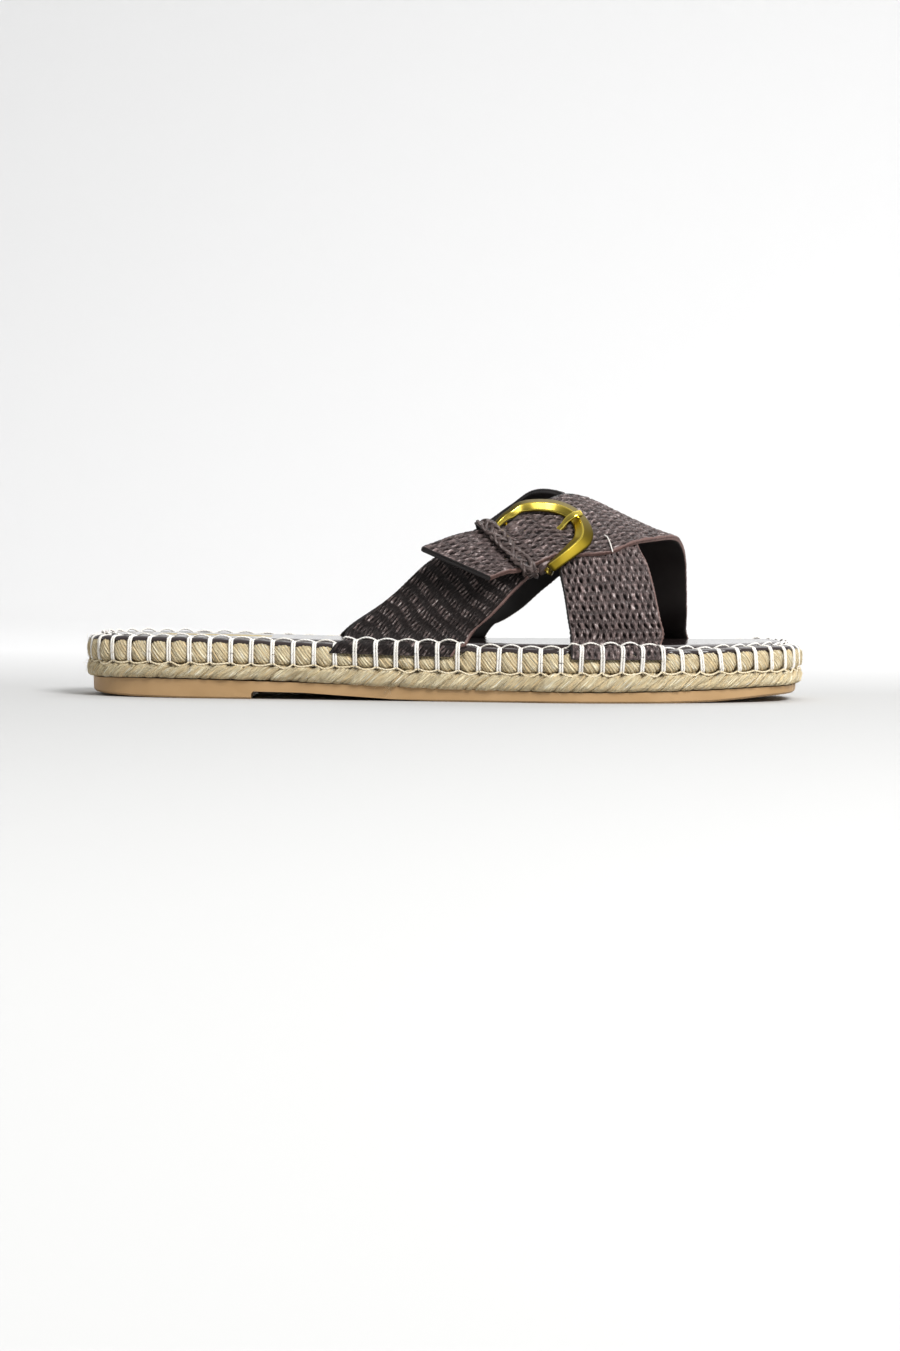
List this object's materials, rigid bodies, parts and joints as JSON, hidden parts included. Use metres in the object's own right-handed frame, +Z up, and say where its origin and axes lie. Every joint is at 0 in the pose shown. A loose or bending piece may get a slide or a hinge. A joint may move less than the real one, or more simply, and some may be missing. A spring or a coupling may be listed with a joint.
{
  "type": "espadrille sandal",
  "caption": "Flat slip-on espadrille sandal with a braided jute sole, two crossed woven straps and a horseshoe buckle on the instep.",
  "frame": {"origin": "middle of the bounding box on the floor plane, under the shank", "axes": "+X towards the toe, +Y towards the medial (big toe) side, +Z up from the floor"},
  "size_m": [0.2678, 0.1014, 0.0781],
  "materials": {
    "rubber": "matt tan moulded rubber",
    "jute": "natural braided jute yarn, loose fibres",
    "leather": "smooth dark brown, low sheen",
    "weave": "dark brown woven raffia, soft sheen on the strands",
    "brass": "polished yellow plating",
    "thread": "off-white twisted cotton thread",
    "foil": "gold foil stamped on the insole"
  },
  "bodies": {
    "root": {"outsole": "rubber", "jute_midsole": "jute", "insole": "leather", "upper": "weave", "keeper_loop": "weave", "buckle_frame": "brass", "buckle_prong": "brass"}
  },
  "joints": []
}
